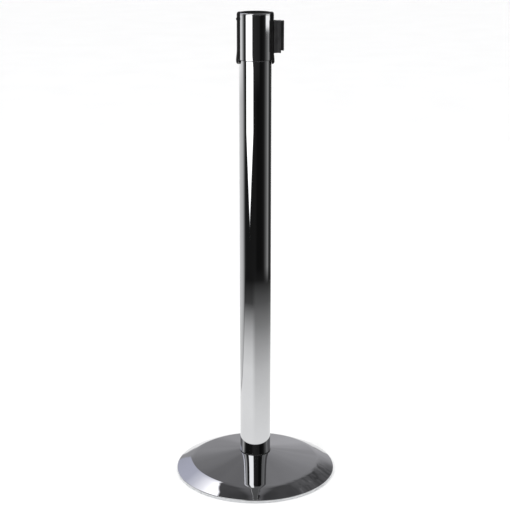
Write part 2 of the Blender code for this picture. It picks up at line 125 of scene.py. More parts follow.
def turned(section, sides):
    """A bmesh turned about Z from (radius, height) points; one that meets the axis starts and ends on it."""
    bm = bmesh.new()
    points = [bm.verts.new((radius, 0, height)) for radius, height in section]
    edges = [bm.edges.new(pair) for pair in zip(points, points[1:])]
    if section[0][0] > 0:
        edges.append(bm.edges.new((points[-1], points[0])))
    bmesh.ops.spin(
        bm,
        geom=points + edges,
        axis=(0, 0, 1),
        cent=(0, 0, 0),
        angle=2 * math.pi,
        steps=sides,
        use_merge=True,
    )
    bmesh.ops.remove_doubles(bm, verts=bm.verts, dist=1e-6)
    return bm


def lofted(loops):
    """A closed bmesh through loops of equally many points, with both ends capped."""
    bm = bmesh.new()
    rows = [[bm.verts.new(point) for point in loop] for loop in loops]
    for near, far in zip(rows, rows[1:]):
        for index in range(len(near)):
            after = (index + 1) % len(near)
            bm.faces.new((near[index], near[after], far[after], far[index]))
    bm.faces.new(rows[0])
    bm.faces.new(rows[-1])
    return bm


def extruded(outline, low, high, bevel=0.0, segments=3):
    """A bmesh of an (x, y) outline extruded along Z, with its sharp edges rounded."""
    bm = lofted([[(x, y, z) for x, y in outline] for z in (low, high)])
    if bevel:
        round_edges(bm, bevel, segments)
    return bm


def round_edges(bm, width, segments=3, sharper=40):
    """Rounds the edges that turn by more than that many degrees."""
    bmesh.ops.recalc_face_normals(bm, faces=bm.faces)
    sharp = [e for e in bm.edges if e.is_manifold and e.calc_face_angle() > math.radians(sharper)]
    bmesh.ops.bevel(
        bm, geom=sharp, offset=width, segments=segments, profile=0.5, affect="EDGES", clamp_overlap=True
    )


def even_normals(piece):
    """Keeps broad flat faces flat where they run into a rounded edge."""
    piece.modifiers.new("even_normals", "WEIGHTED_NORMAL").keep_sharp = True


def tool_block(name, low, high):
    bm = bmesh.new()
    size = Vector(high) - Vector(low)
    middle = (Vector(high) + Vector(low)) / 2
    bmesh.ops.create_cube(bm, size=1, matrix=Matrix.Translation(middle) @ Matrix.Diagonal((*size, 1)))
    return tool_of(name, bm)


def tool_rod(name, radius, start, end, sides=40):
    """A cutting cylinder between two points."""
    bm = bmesh.new()
    axis = Vector(end) - Vector(start)
    turn = axis.to_track_quat("Z", "Y").to_matrix().to_4x4()
    place = Matrix.Translation((Vector(start) + Vector(end)) / 2) @ turn
    bmesh.ops.create_cone(
        bm, cap_ends=True, segments=sides, radius1=radius, radius2=radius, depth=axis.length, matrix=place
    )
    return tool_of(name, bm)


def tool_of(name, bm):
    bmesh.ops.recalc_face_normals(bm, faces=bm.faces)
    mesh = bpy.data.meshes.new(name)
    bm.to_mesh(mesh)
    bm.free()
    tool = bpy.data.objects.new(name, mesh)
    bpy.context.scene.collection.objects.link(tool)
    return tool


def carve(piece, *tools):
    """Cuts the tools out of the piece for good, and smooths it again."""
    piece.modifiers.clear()
    for tool in tools:
        step = piece.modifiers.new("carve", "BOOLEAN")
        step.operation = "DIFFERENCE"
        step.object = tool
    bpy.context.view_layer.update()
    graph = bpy.context.evaluated_depsgraph_get()
    mesh = bpy.data.meshes.new_from_object(piece.evaluated_get(graph))
    piece.modifiers.clear()
    piece.data = mesh
    mesh.set_sharp_from_angle(angle=math.radians(35))
    even_normals(piece)
    for tool in tools:
        bpy.data.objects.remove(tool, do_unlink=True)


# ---------------------------------------------------------------- materials


class Graph:
    """A node tree with a few helpers for building it. Its textures lie in the object's own coordinates."""

    def __init__(self, tree):
        self.tree = tree
        self.place = self.node("TexCoord").outputs["Object"]

    def node(self, kind, inputs=None, **settings):
        made = self.tree.nodes.new("ShaderNode" + kind)
        for name, value in settings.items():
            setattr(made, name, value)
        for name, value in (inputs or {}).items():
            if isinstance(value, bpy.types.NodeSocket):
                self.tree.links.new(value, made.inputs[name])
            else:
                made.inputs[name].default_value = value
        return made

    def stretched(self, x, y, z):
        """Object coordinates scaled by x, y and z, so that a noise on them runs in streaks."""
        return self.node("Mapping", {"Vector": self.place, "Scale": (x, y, z)}).outputs["Vector"]

    def noise(self, scale, detail=3.0, vector=None, roughness=0.5):
        inputs = {"Vector": vector or self.place, "Scale": scale, "Detail": detail, "Roughness": roughness}
        return self.node("TexNoise", inputs).outputs["Fac"]

    def ramp(self, factor, *stops):
        """Colours or grey levels along a factor, from (position, colour) stops."""
        made = self.node("ValToRGB", {"Fac": factor})
        elements = made.color_ramp.elements
        while len(elements) < len(stops):
            elements.new(0.5)
        for element, (position, colour) in zip(elements, stops):
            element.position = position
            grey = isinstance(colour, (int, float))
            element.color = (colour, colour, colour, 1) if grey else (*colour, 1)
        return made.outputs["Color"]

    def maths(self, operation, a, b=0.0):
        return self.node("Math", {0: a, 1: b}, operation=operation).outputs[0]

    def both(self, a, b):
        return self.maths("MULTIPLY", a, b)

    def fade(self, value, start, end):
        """0 up to start and 1 from end on, straight in between."""
        return self.node("MapRange", {"Value": value, "From Min": start, "From Max": end}).outputs["Result"]


class Look(Graph):
    """A Principled material."""

    def __init__(self, name, metallic=0.0, **sockets):
        self.material = bpy.data.materials.new(name)
        self.material.use_nodes = True
        super().__init__(self.material.node_tree)
        self.shader = self.tree.nodes["Principled BSDF"]
        self.shader.inputs["Metallic"].default_value = metallic
        for socket, value in sockets.items():
            self.shader.inputs[socket.replace("_", " ")].default_value = value

    def colour(self, socket):
        self.tree.links.new(socket, self.shader.inputs["Base Color"])

    def rough(self, socket):
        self.tree.links.new(socket, self.shader.inputs["Roughness"])

    def bump(self, height, depth, strength=1.0):
        """Adds relief of that depth in metres on top of what is there."""
        made = self.node("Bump", {"Height": height, "Distance": depth, "Strength": strength})
        before = self.shader.inputs["Normal"]
        if before.is_linked:
            self.tree.links.new(before.links[0].from_socket, made.inputs["Normal"])
        self.tree.links.new(made.outputs["Normal"], before)


def chrome():
    """Bright chrome plate: hand smudges, wiping marks along the post, fine rings and a slight waviness."""
    look = Look("chrome_plate", 1.0)
    smudge = look.noise(9, 5, roughness=0.62)
    look.colour(look.ramp(smudge, (0.3, (0.645, 0.65, 0.66)), (0.75, (0.6, 0.605, 0.615))))
    wiping = look.noise(60, 3, look.stretched(6, 6, 0.35))
    marks = look.maths("ADD", look.both(smudge, 0.8), look.both(wiping, 0.25))
    look.rough(look.ramp(marks, (0.42, 0.012), (0.62, 0.03), (0.8, 0.1)))
    look.bump(look.noise(5, 1), 0.0004, 0.12)
    look.bump(look.noise(700, 2, look.stretched(1, 1, 0.08)), 0.000003, 0.5)
    axes = look.node("SeparateXYZ", {"Vector": look.place})
    flat = look.node("CombineXYZ", {"X": axes.outputs["X"], "Y": axes.outputs["Y"]}).outputs["Vector"]
    from_axis = look.node("VectorMath", {0: flat}, operation="LENGTH").outputs["Value"]
    rings = look.node("CombineXYZ", {"X": from_axis}).outputs["Vector"]
    look.bump(look.noise(420, 3, rings), 0.000004, 0.6)
    return look.material


def black_plastic(name, shade):
    """Moulded black plastic with a fine spark-eroded grain, rubbed a little smoother in patches."""
    look = Look(name, 0.0)
    patches = look.noise(38, 4, roughness=0.6)
    dark = (0.55 * shade, 0.55 * shade, 0.6 * shade)
    worn = (1.2 * shade, 1.2 * shade, 1.25 * shade)
    look.colour(look.ramp(patches, (0.3, dark), (0.7, worn)))
    look.rough(look.ramp(patches, (0.3, 0.52), (0.7, 0.38)))
    look.bump(look.noise(2600, 2), 0.00004, 0.55)
    look.bump(look.noise(120, 2), 0.00008, 0.25)
    return look.material


def vinyl():
    """Pale soft vinyl of the floor ring, a little see-through and scuffed where it meets the floor."""
    look = Look("floor_vinyl", 0.0, Subsurface_Weight=0.25, Subsurface_Scale=0.004)
    look.shader.inputs["Subsurface Radius"].default_value = (1.0, 1.0, 1.0)
    scuffs = look.noise(55, 5, roughness=0.65)
    stops = ((0.35, (0.5, 0.51, 0.525)), (0.6, (0.6, 0.61, 0.625)), (0.8, (0.44, 0.445, 0.45)))
    look.colour(look.ramp(scuffs, *stops))
    look.rough(look.ramp(scuffs, (0.3, 0.38), (0.75, 0.6)))
    look.bump(look.noise(900, 3), 0.00005, 0.4)
    return look.material


def rubber():
    """Dull black rubber with a dusty bloom."""
    look = Look("gasket_rubber", 0.0)
    bloom = look.noise(80, 4)
    look.colour(look.ramp(bloom, (0.3, (0.014, 0.014, 0.014)), (0.75, (0.034, 0.034, 0.036))))
    look.rough(look.ramp(bloom, (0.3, 0.7), (0.7, 0.85)))
    look.bump(look.noise(1500, 2), 0.00005, 0.5)
    return look.material


def cast_iron():
    """Sand-cast iron under dark primer: a pebbled skin, with rust showing through in a few spots."""
    look = Look("primed_casting", 0.25)
    pebbles = look.noise(420, 4, roughness=0.65)
    rust = look.noise(26, 6, roughness=0.7)
    stops = ((0.3, (0.04, 0.041, 0.044)), (0.62, (0.075, 0.075, 0.078)), (0.7, (0.13, 0.06, 0.03)))
    look.colour(look.ramp(rust, *stops))
    look.rough(look.ramp(pebbles, (0.3, 0.62), (0.7, 0.85)))
    look.bump(look.noise(45, 3), 0.0006, 0.6)
    look.bump(pebbles, 0.0003, 0.8)
    return look.material


def plated_steel(name, light, dark, gloss):
    """Turned steel under a thin plating, with fine tool marks round the axis and a cloudy sheen."""
    look = Look(name, 1.0)
    clouds = look.noise(140, 4)
    look.colour(look.ramp(clouds, (0.3, light), (0.7, dark)))
    look.rough(look.ramp(clouds, (0.3, gloss), (0.75, gloss + 0.16)))
    look.bump(look.noise(1400, 2, look.stretched(0.1, 0.1, 4)), 0.00002, 0.5)
    return look.material


def acetal():
    """Natural white acetal mouldings, waxy and slightly see-through."""
    look = Look("natural_acetal", 0.0, Subsurface_Weight=0.2, Subsurface_Scale=0.002)
    flow = look.noise(70, 3, look.stretched(1, 1, 0.3))
    look.colour(look.ramp(flow, (0.3, (0.7, 0.7, 0.66)), (0.7, (0.78, 0.78, 0.75))))
    look.rough(look.ramp(flow, (0.3, 0.32), (0.7, 0.46)))
    look.bump(look.noise(800, 2), 0.00003, 0.4)
    return look.material


def webbing():
    """Black polyester webbing: warp cords along the belt, crossed by picks that lean into a fine twill."""
    look = Look("belt_webbing", 0.0, Sheen_Weight=0.25, Sheen_Roughness=0.5)
    axes = look.node("SeparateXYZ", {"Vector": look.place})
    cord = 1.5 * MM
    pick = 1.1 * MM
    across = look.both(axes.outputs["Z"], 2 * math.pi / cord)
    along = look.both(axes.outputs["X"], 2 * math.pi / pick)
    warp = look.maths("ABSOLUTE", look.maths("SINE", look.both(across, 0.5)))
    twill = look.maths("SINE", look.maths("ADD", along, across))
    weave = look.both(warp, look.maths("ADD", look.both(twill, 0.35), 0.65))
    fibres = look.noise(3000, 2, look.stretched(0.12, 1, 1))
    # The colour follows the weave's relief: painted shade in its hollows and painted light on its raised
    # cords, with the fibres' own random tone on top.
    shade = look.maths("ADD", look.both(weave, 0.7), look.both(fibres, 0.35))
    look.colour(look.ramp(shade, (0.15, (0.005, 0.005, 0.006)), (0.85, (0.035, 0.035, 0.038))))
    look.rough(look.ramp(shade, (0.1, 0.95), (0.9, 0.7)))
    look.bump(weave, 0.0002, 0.9)
    look.bump(fibres, 0.00005, 0.5)
    return look.material


def make_looks():
    """One material for each of the record's slots."""
    return {
        "chrome": chrome(),
        "black_plastic": black_plastic("moulded_black", 0.008),
        "floor_vinyl": vinyl(),
        "black_rubber": rubber(),
        "casting": cast_iron(),
        "zinc_steel": plated_steel("zinc_plate", (0.64, 0.65, 0.67), (0.52, 0.53, 0.54), 0.22),
        "spring_steel": plated_steel("blued_steel", (0.3, 0.31, 0.34), (0.2, 0.2, 0.22), 0.24),
        "bush_brass": plated_steel("machined_brass", (0.72, 0.55, 0.26), (0.6, 0.43, 0.18), 0.22),
        "white_acetal": acetal(),
        "black_webbing": webbing(),
    }


def dress_frame(looks):
    """Gives every CAD node its slot's material, and rounds the shading of those that stay in sight."""
    slots = {row["node"]: row["material_slot"] for row in frame["record"]["subparts"]}
    for name, node in frame["nodes"].items():
        node.data.materials.clear()
        node.data.materials.append(looks[slots[name]])
        node.data.shade_smooth()
        weld = node.modifiers.new("weld", "WELD")
        weld.merge_threshold = 0.00001
        split = node.modifiers.new("edges", "EDGE_SPLIT")
        split.split_angle = math.radians(32)


# ---------------------------------------------------------------- foot and post


def make_floor_ring(look):
    """Soft ring under the rim, with a drip groove round its side and ribs underneath that grip the floor."""
    outer, foot, top = reach("floor_ring")
    inner = outer - 12 * MM
    groove = foot + 2.6 * MM
    corners = [(inner, foot + 0.6 * MM, 0.2 * MM)]
    for rib in range(3):
        start = inner + (1.5 + 3.2 * rib) * MM
        corners += [
            (start, foot + 0.6 * MM, 0),
            (start + 0.4 * MM, foot, 0.15 * MM),
            (start + 1.8 * MM, foot, 0.15 * MM),
            (start + 2.2 * MM, foot + 0.6 * MM, 0),
        ]
    corners += [
        (outer, foot, 1.4 * MM),
        (outer, groove - 0.3 * MM, 0.2 * MM),
        (outer - 0.45 * MM, groove, 0.15 * MM),
        (outer, groove + 0.3 * MM, 0.2 * MM),
        (outer, top, 0.7 * MM),
        (inner, top, 0.4 * MM),
    ]
    bm = turned(rounded(corners, 4), FOOT_SIDES)
    piece_of("floor_ring_moulding", bm, look, "post", ["floor_ring"])


def make_base_cover(look):
    """Spun steel cover: flat seat, shallow cone, steeper outer bevel, rim rolled over the floor ring."""
    rim, foot, top = reach("base_cover")
    fold = 140 * MM
    fold_height = 22 * MM
    fold_bend = 60 * MM
    swell_bend = 230 * MM
    seat = 34.5 * MM
    sheet = 0.9 * MM
    bore = 6.6 * MM
    brow = foot + 1.6 * MM
    swell = (brow + fold_height) / 2 + 0.6 * MM  # the outer bevel is pressed slightly full
    corners = [
        (bore, top, 0.3 * MM),
        (seat, top, 5 * MM),
        (fold, fold_height, fold_bend),
        ((fold + rim) / 2, swell, swell_bend),
        (rim, brow, 1.5 * MM),
        (rim, foot, 0.35 * MM),
        (rim - sheet, foot, 0.35 * MM),
        (rim - sheet, brow - 0.5 * sheet, 0.6 * MM),
        ((fold + rim) / 2, swell - sheet, swell_bend),
        (fold, fold_height - sheet, fold_bend),
        (seat, top - sheet, 5 * MM),
        (bore, top - sheet, 0.3 * MM),
    ]
    bm = turned(rounded(corners, 8), FOOT_SIDES)
    piece_of("base_cover_spinning", bm, look, "post", ["base_cover"])


def make_gasket(look):
    """Thin ring between cover and tube, flush with the tube."""
    _, foot, top = reach("foot_gasket")
    outer = reach("post_tube")[0] + 0.1 * MM
    inner = 27 * MM
    corners = [
        (inner, foot, 0.2 * MM),
        (outer, foot, 0.35 * MM),
        (outer, top, 0.45 * MM),
        (inner, top, 0.2 * MM),
    ]
    bm = turned(rounded(corners, 5), TUBE_SIDES)
    piece_of("foot_gasket_ring", bm, look, "post", ["foot_gasket"])


def make_tube(look):
    """Straight tube with its cut ends lightly chamfered, open inside."""
    outer, foot, top = reach("post_tube")
    wall = 1.5 * MM
    corners = [
        (outer, foot, 0.35 * MM),
        (outer, top, 0.35 * MM),
        (outer - wall, top, 0.25 * MM),
        (outer - wall, foot, 0.25 * MM),
    ]
    bm = turned(rounded(corners, 4), TUBE_SIDES)
    tube = piece_of("chrome_tube", bm, look, "post", ["post_tube"])
    height = middle_of("rail_screw_exit").z
    carve(tube, tool_rod("tube_drill", SCREW_HOLE, (-40 * MM, 0, height), (40 * MM, 0, height)))


# ---------------------------------------------------------------- head


def make_shells(look):
    """Front and rear chrome skins of the head, whose ends run along the rails."""
    outer = -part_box("front_shell")[0].y
    _, foot, top = reach("front_shell")
    end = -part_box("front_shell")[1].y
    inner = outer - 1.5 * MM
    steps = 80
    for side, name in ((-1, "front_shell"), (1, "rear_shell")):
        outline = []
        for radius in (outer, inner):
            first = math.asin(end / radius)
            arc = [first + (math.pi - 2 * first) * step / steps for step in range(steps + 1)]
            if radius == inner:
                arc.reverse()
            outline += [(radius * math.cos(angle), side * radius * math.sin(angle)) for angle in arc]
        bm = extruded(outline, foot, top, 0.22 * MM, 2)
        piece_of(name + "_skin", bm, look, "post", [name])


def make_cap(look):
    """Chrome cap with a rolled edge and a shallow dished top, notched for the two rails."""
    low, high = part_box("top_cap")
    radius = high.y
    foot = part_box("front_shell")[1].z + 0.3 * MM
    top = high.z
    plug = 26.7 * MM
    plug_inside = plug - 2.2 * MM
    plug_foot = low.z
    dish = top - 0.15 * MM
    roof = top - 2.5 * MM
    land = radius - 8 * MM
    section = [(0, dish), (land - MM, dish), (land, top)]
    edge = [(land, top, 0), (radius, top, 2.4 * MM), (radius, foot, 0.15 * MM), (plug, foot, 0)]
    section += rounded(edge, 10)[1:]
    section += [(plug, plug_foot), (plug_inside, plug_foot), (plug_inside, roof), (0, roof)]
    cap = piece_of("top_cap_pressing", turned(section, TUBE_SIDES), look, "post", ["top_cap"])
    half = -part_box("front_shell")[1].y
    flat = 29.5 * MM
    for side, name in ((1, "notch_exit"), (-1, "notch_receiver")):
        near = side * flat
        far = side * (radius + MM)
        notch_low = (min(near, far), -half, foot - MM)
        notch_high = (max(near, far), half, top + MM)
        carve(cap, tool_block(name, notch_low, notch_high))


def rail_loops(face, bulb, foot, top, half):
    """Plan loops of a rail from its rounded lower knob up to its rounded top corner, for the +X side."""
    back = 29.8 * MM
    step = reach("post_tube")[2] + 0.6 * MM  # above this the rail reaches in over the tube
    knob = foot + 6 * MM
    knob_half = half - 1.3 * MM
    flare = 25 * MM
    crown = 3.6 * MM
    corner = 3.6 * MM
    key = half - 0.4 * MM
    tube = reach("post_tube")[0]
    shell = -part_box("front_shell")[0].y
    levels = [foot + (knob - foot) * (1 - math.cos(math.pi / 2 * s / 8)) for s in range(9)]
    levels += [step - 0.05 * MM, step + 0.05 * MM]
    levels += [knob + flare * s / 12 for s in range(2, 13)]
    levels += [top - crown + crown * math.sin(math.pi / 2 * s / 8) for s in range(9)]
    loops = []
    for z in levels:
        if z <= knob:
            share = math.sqrt(max(0.0, 1 - ((knob - z) / (knob - foot)) ** 2))
            width = knob_half * (0.66 + 0.34 * share)
            out = bulb - 4.5 * MM * (1 - share)
        else:
            share = min(1.0, (z - knob) / flare)
            ease = share * share * (3 - 2 * share)
            width = knob_half + (half - knob_half) * ease
            out = bulb + (face - bulb) * ease
        if z > top - crown:
            out -= crown - math.sqrt(max(0.0, crown**2 - (z - top + crown) ** 2))
        inside = back if z > step else tube + 0.4 * MM
        hug = (shell if z > step else tube) + HUG
        inner_key = min(key, width - 0.3 * MM)
        side_x = max(inside + 0.1 * MM, math.sqrt(hug**2 - width**2))
        key_x = max(inside + 0.05 * MM, math.sqrt(hug**2 - inner_key**2))
        round_off = min(corner, (out - side_x) * 0.8)
        half_loop = [(inside, -inner_key), (key_x, -inner_key), (side_x, -width)]
        for s in range(9):
            angle = math.pi / 2 * s / 8
            x = out - round_off + round_off * math.sin(angle)
            half_loop.append((x, -width + round_off - round_off * math.cos(angle)))
        loop = half_loop + [(x, -y) for x, y in reversed(half_loop)]
        loops.append([(x, y, z) for x, y in loop])
    return loops


def make_rails(look):
    """The two black strips up the sides of the head: belt mouth at +X, slot for a neighbour's tab at -X."""
    face = 37.3 * MM
    head_floor = 36.7 * MM  # bottom of the counterbores for the screws' heads
    bulb, foot, top = reach("exit_rail")
    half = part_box("exit_rail")[1].y
    loops = rail_loops(face, bulb, foot, top, half)
    rails = {}
    for side, name in ((1, "exit_rail"), (-1, "receiver_rail")):
        placed = [[(side * x, y, z) for x, y, z in loop] for loop in loops]
        rail = piece_of(name + "_moulding", lofted(placed), look, "post", [name], 50)
        height = middle_of("rail_screw_exit").z
        outside = (side * 45 * MM, 0, height)
        hole = tool_rod("hole", SCREW_HOLE, (side * 25 * MM, 0, height), outside)
        counterbore = tool_rod("bore", 3.3 * MM, (side * head_floor, 0, height), outside)
        carve(rail, hole, counterbore)
        rails[name] = rail

    belt_low, belt_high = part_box("belt_web")
    mouth = [
        (28 * MM, -1.5 * MM, 0),
        (34.5 * MM, -1.5 * MM, 3 * MM),
        (36.6 * MM, -1.9 * MM, 0),
        (39 * MM, -4.2 * MM, 0),
    ]
    outline = rounded(mouth + [(x, -y, r) for x, y, r in reversed(mouth)], 5)
    slot = tool_of("mouth", extruded(outline, belt_low.z - 2.5 * MM, belt_high.z + 2.5 * MM))
    carve(rails["exit_rail"], slot)

    lip = face - 1.9 * MM
    pocket = 30.8 * MM
    neck = 4.6 * MM
    width = 8.3 * MM
    past_face = 41 * MM
    tee = [(past_face, -neck), (lip, -neck), (lip, -width), (pocket, -width)]
    outline = [(-x, y) for x, y in tee + [(x, -y) for x, y in reversed(tee)]]
    floor = 923.7 * MM
    carve(rails["receiver_rail"], tool_of("tee", extruded(outline, floor, top + 2 * MM)))
    chamfer = face - 0.6 * MM
    lead = [(past_face, 6.8 * MM), (chamfer, neck), (chamfer, -neck), (past_face, -6.8 * MM)]
    outline = [(-x, y) for x, y in lead]
    carve(rails["receiver_rail"], tool_of("lead_in", extruded(outline, floor, top + 2 * MM)))

    low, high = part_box("latch_button")
    room = Vector((0, 0.3 * MM, 0.3 * MM))
    window_low = Vector((-face - 2 * MM, low.y, (low.z + high.z) / 2 - 2.5 * MM)) - room
    window_high = Vector((-35.6 * MM, high.y, (low.z + high.z) / 2 + 2.5 * MM)) + room
    recess_low = Vector((-35.9 * MM, low.y, low.z)) - room
    recess_high = Vector((-28.5 * MM, high.y, high.z)) + room
    window = tool_block("window", window_low, window_high)
    carve(rails["receiver_rail"], window, tool_block("recess", recess_low, recess_high))


def make_latch(look):
    """Small push button with a domed, ridged face, kept in by its flange."""
    low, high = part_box("latch_button")
    middle = (low.z + high.z) / 2
    flange_front = high.x - 1.4 * MM
    corners = [
        (low.x, -2.5 * MM, 0.8 * MM),
        (low.x, 2.5 * MM, 0.8 * MM),
        (flange_front, 2.5 * MM, 0),
        (flange_front, 3.7 * MM, 0.2 * MM),
        (high.x, 3.7 * MM, 0.2 * MM),
        (high.x, -3.7 * MM, 0.2 * MM),
        (flange_front, -3.7 * MM, 0.2 * MM),
        (flange_front, -2.5 * MM, 0),
    ]
    outline = rounded(corners, 6)
    loops = [[(x, y, middle + z) for x, z in outline] for y in (low.y, high.y)]
    bm = lofted(loops)
    round_edges(bm, 0.3 * MM)
    button = piece_of("latch_push_button", bm, look, "latch", ["latch_button"])
    for rib in (-1, 0, 1):
        z = middle + rib * 0.9 * MM
        start = (low.x - 0.05 * MM, low.y - MM, z)
        carve(button, tool_rod(f"ridge{rib}", 0.22 * MM, start, (start[0], high.y + MM, z), 12))


def make_latch_spring(look):
    """Little coil of wire behind the button."""
    low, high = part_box("latch_spring")
    middle = (low + high) / 2
    wire = 0.21 * MM
    coil = (high.z - low.z) / 2 - wire
    start = low.x + wire
    run = high.x - low.x - 2 * wire
    turns = 3
    steps = 32 * turns
    climb = run / (2 * math.pi * turns)
    loops = []
    for step in range(steps + 1):
        angle = 2 * math.pi * turns * step / steps
        outward = Vector((0, math.cos(angle), math.sin(angle)))
        centre = Vector((start + run * step / steps, middle.y, middle.z)) + outward * coil
        along = Vector((climb, -coil * math.sin(angle), coil * math.cos(angle))).normalized()
        aside = along.cross(outward)
        round_wire = [2 * math.pi * s / 10 for s in range(10)]
        loops.append([centre + (outward * math.cos(a) + aside * math.sin(a)) * wire for a in round_wire])
    spring = piece_of("latch_spring_coil", lofted(loops), look, None, ["latch_spring"], 60)
    spring.modifiers.clear()
    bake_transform(spring)


# ---------------------------------------------------------------- belt


def make_belt_end(look):
    """Belt end with scooped, ribbed grips on both sides and the tab that docks in a neighbour's slot."""
    low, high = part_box("belt_end")
    half = high.y
    body = 52 * MM
    neck = 3.6 * MM
    tab = 7.4 * MM
    tip = high.x
    under_tab = tip - 3 * MM
    scoop = 2.7 * MM
    near = low.x
    steps = 28
    side = [(near, -half + 1.2 * MM), (near + 0.35 * MM, -half + 0.35 * MM), (near + 1.2 * MM, -half)]
    start = near + 2 * MM
    end = body - 1.6 * MM
    for step in range(steps + 1):
        share = step / steps
        dip = scoop * math.sin(math.pi * share) ** 1.4
        rib = 0.22 * MM * abs(math.sin(5 * math.pi * share)) if 0.08 < share < 0.92 else 0.0
        side.append((start + (end - start) * share, -half + dip + rib))
    side += [(body - 0.8 * MM, -half + 0.15 * MM), (body - 0.2 * MM, -half + 0.75 * MM)]
    side.append((body, -half + 1.5 * MM))
    hook = [
        (body, -neck, 0.5 * MM),
        (under_tab, -neck, 0.4 * MM),
        (under_tab, -tab, 0.6 * MM),
        (tip, -tab, 1.2 * MM),
    ]
    anchor = [(body, -half + 1.5 * MM, 0)]
    side += rounded(anchor + hook + [(tip, 0, 0)], 5)[1:-1]
    outline = side + [(x, -y) for x, y in reversed(side)]
    bm = extruded(outline, low.z, high.z, 0.9 * MM, 4)
    belt_end = piece_of("belt_end_grip", bm, look, "belt_end", ["belt_end"])
    tab_foot = 924 * MM
    step = tool_block("tab_step", (body + 0.1 * MM, -half, low.z - MM), (tip + MM, half, tab_foot))
    belt_low, belt_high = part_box("belt_web")
    pin_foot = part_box("clamp_pin")[0].z
    pin_x = middle_of("clamp_pin").x
    slot_low = (near - MM, -0.6 * MM, belt_low.z - 0.6 * MM)
    slot_high = (pin_x, 0.6 * MM, belt_high.z + 0.6 * MM)
    slot = tool_block("belt_slot", slot_low, slot_high)
    bore = tool_rod("pin_bore", 1.9 * MM, (pin_x, 0, pin_foot - 0.3 * MM), (pin_x, 0, high.z + MM))
    carve(belt_end, step)
    carve(belt_end, bore)
    carve(belt_end, slot)


def belt_path():
    """Middle line of the belt from the roll, round the rear guide roller, and straight out to its clamp."""
    low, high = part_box("guide_roller_rear")
    roller = (low + high) / 2
    sheet = 0.5 * MM
    wrap = (high.x - low.x) / 2 + 0.1 * MM + sheet / 2
    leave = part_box("belt_roll")[1].x + 0.3 * MM + sheet / 2
    angle = math.atan2(roller.y, roller.x) + math.acos((wrap + leave) / math.hypot(roller.x, roller.y))
    path = [Vector((leave * math.cos(angle), leave * math.sin(angle)))]
    for step in range(9):
        turn = math.pi + angle + (math.pi / 2 - angle) * step / 8
        path.append(Vector((roller.x + wrap * math.cos(turn), roller.y + wrap * math.sin(turn))))
    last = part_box("belt_web")[1].x
    first = path[-1].x
    run = 60
    path += [Vector((first + (last - first) * step / run, 0)) for step in range(1, run + 1)]
    return path


def make_belt(look):
    """The webbing, its selvedges a little thicker than its middle, laid from the roll round the rear guide
    roller out to its clamp.
    """
    low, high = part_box("belt_web")
    sheet = 0.25 * MM
    thin = 0.21 * MM
    selvedge = 2 * MM
    heights = [(low.z, 0.1 * MM), (low.z + 0.3 * MM, sheet), (low.z + selvedge, sheet)]
    heights += [(low.z + selvedge + 0.4 * MM, thin), ((low.z + high.z) / 2, thin)]
    middle = low.z + high.z
    heights += [(middle - z, thick) for z, thick in reversed(heights[:-1])]
    path = belt_path()
    loops = []
    for index, point in enumerate(path):
        ahead = path[min(index + 1, len(path) - 1)] - path[max(index - 1, 0)]
        normal = Vector((-ahead.y, ahead.x)).normalized()
        one = [(*(point + normal * thick), z) for z, thick in heights]
        other = [(*(point - normal * thick), z) for z, thick in reversed(heights)]
        loops.append(one + other)
    belt = piece_of("belt_webbing_strip", lofted(loops), look, None, ["belt_web"], 60)
    belt.modifiers.clear()
    middle = (low.z + high.z) / 2
    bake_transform(belt)


# ---------------------------------------------------------------- studio


class Sky(Graph):
    """The studio as the chrome sees it, by azimuth from the camera (negative to the left) and elevation."""

    def __init__(self, world):
        super().__init__(world.node_tree)
        self.direction = self.node("TexCoord").outputs["Generated"]
        axes = self.node("SeparateXYZ", {"Vector": self.direction})
        back = self.both(axes.outputs["Y"], -1.0)
        turn = self.maths("ARCTAN2", axes.outputs["X"], back)
        self.azimuth = self.both(turn, 180 / math.pi)
        self.elevation = self.both(self.maths("ARCSINE", axes.outputs["Z"]), 180 / math.pi)
        self.aside = self.maths("ABSOLUTE", self.azimuth)

    def step(self, value, start, end):
        """0 up to start and 1 from end on, softly."""
        made = self.node("MapRange", {"Value": value, "From Min": start, "From Max": end})
        made.interpolation_type = "SMOOTHSTEP"
        return made.outputs["Result"]

    def window(self, value, low, high, soft):
        """1 between low and high, with soft edges of that width."""
        opens = self.step(value, low - soft, low + soft)
        shuts = self.step(value, high + soft, high - soft)
        return self.both(opens, shuts)

    def patch(self, azimuths, elevations):
        """1 inside a (low, high, soft) range of azimuths and one of elevations."""
        return self.both(self.window(self.azimuth, *azimuths), self.window(self.elevation, *elevations))

    def by_angle(self, angle, first, last, stops):
        """Level along an angle from (angle, level) stops."""
        share = self.maths("DIVIDE", self.maths("SUBTRACT", angle, first), last - first)
        peak = max(level for _, level in stops)
        levels = [((stop - first) / (last - first), level / peak) for stop, level in stops]
        return self.both(self.ramp(share, *levels), peak)

    def between(self, factor, low, high):
        """low where factor is 0 and high where it is 1."""
        return self.node("Mix", {"Factor": factor, "A": low, "B": high}).outputs["Result"]


